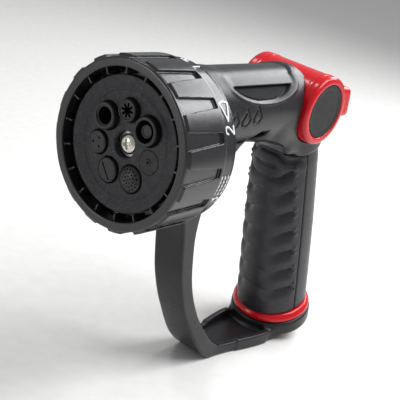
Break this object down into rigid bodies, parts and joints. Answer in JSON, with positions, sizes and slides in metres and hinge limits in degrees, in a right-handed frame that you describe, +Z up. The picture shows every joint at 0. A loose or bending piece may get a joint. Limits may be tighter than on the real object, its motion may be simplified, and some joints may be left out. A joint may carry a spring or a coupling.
{
  "type": "hose spray nozzle",
  "caption": "Handheld hose spray nozzle with a rotating multi-pattern head, thumb flow lever, soft grip and a closed D-shaped hand guard.",
  "frame": {"origin": "under the middle of the object's box, on the surface that the hand guard's flat foot stands on", "axes": "+Z up, the spray leaves towards -Y, X runs across the nozzle; X = 0 is the plane that the mouldings are mirrored in"},
  "size_m": [0.0798, 0.2004, 0.1734],
  "materials": {
    "black_plastic": "satin black moulded plastic",
    "grey_plastic": "dark grey satin moulded plastic",
    "face_plastic": "charcoal moulded plastic with a fine grain",
    "red_plastic": "glossy red moulded plastic",
    "cap_plastic": "matte dark grey",
    "grip_rubber": "soft matte over-moulding",
    "inner_plastic": "natural white acetal",
    "seal_rubber": "black nitrile",
    "brass": "turned",
    "nickel": "nickel plated",
    "steel": "stainless, plain"
  },
  "bodies": {
    "root": {"body_housing": "grey_plastic", "hand_guard": "grey_plastic", "grip_sleeve": "grip_rubber", "grip_spine": "black_plastic", "back_pad": "grip_rubber", "accent_ring": "red_plastic", "water_tube": "inner_plastic", "tube_seal": "seal_rubber", "inlet_insert": "brass", "hose_washer": "seal_rubber", "filter_screen": "steel", "valve_seat": "brass", "stem_guide": "inner_plastic", "spindle_seal_left": "seal_rubber", "spindle_seal_right": "seal_rubber", "turret_post": "steel", "screw_washer": "steel", "centre_screw": "nickel", "outlet_seal": "seal_rubber", "seal_spring": "steel", "detent_ball": "steel", "detent_spring": "steel"},
    "turret": {"turret_ring": "black_plastic", "label_collar": "black_plastic", "face_plate": "face_plastic", "distributor_plate": "inner_plastic", "click_ring": "inner_plastic", "star_nozzle": "black_plastic", "cone_nozzle": "black_plastic", "pinhole_nozzle": "face_plastic", "dome_rose": "face_plastic", "flat_nozzle": "black_plastic", "mist_nozzle": "face_plastic", "jet_nozzle": "black_plastic"},
    "lever": {"thumb_lever": "red_plastic", "pivot_cap_left": "cap_plastic", "pivot_cap_right": "cap_plastic", "lever_spindle": "steel"},
    "plunger": {"valve_plunger": "inner_plastic", "plunger_seal": "seal_rubber"}
  },
  "joints": [
    {"name": "turret_spin", "type": "hinge", "parent": "root", "child": "turret", "pos_m": [0, -0.1002, 0.1335], "axis": [0, -1, 0], "continuous": true},
    {"name": "thumb_lever_hinge", "type": "hinge", "parent": "root", "child": "lever", "pos_m": [0, 0.0316, 0.1495], "axis": [1, 0, 0], "range_deg": [-20, 0]},
    {"name": "plunger_slide", "type": "slide", "parent": "root", "child": "plunger", "axis": [0, 1, 0], "range_m": [-0.00278, 0]}
  ],
  "couplings": [
    {"joint": "plunger_slide", "follows": "thumb_lever_hinge", "m_per_rad": 0.0079594}
  ]
}
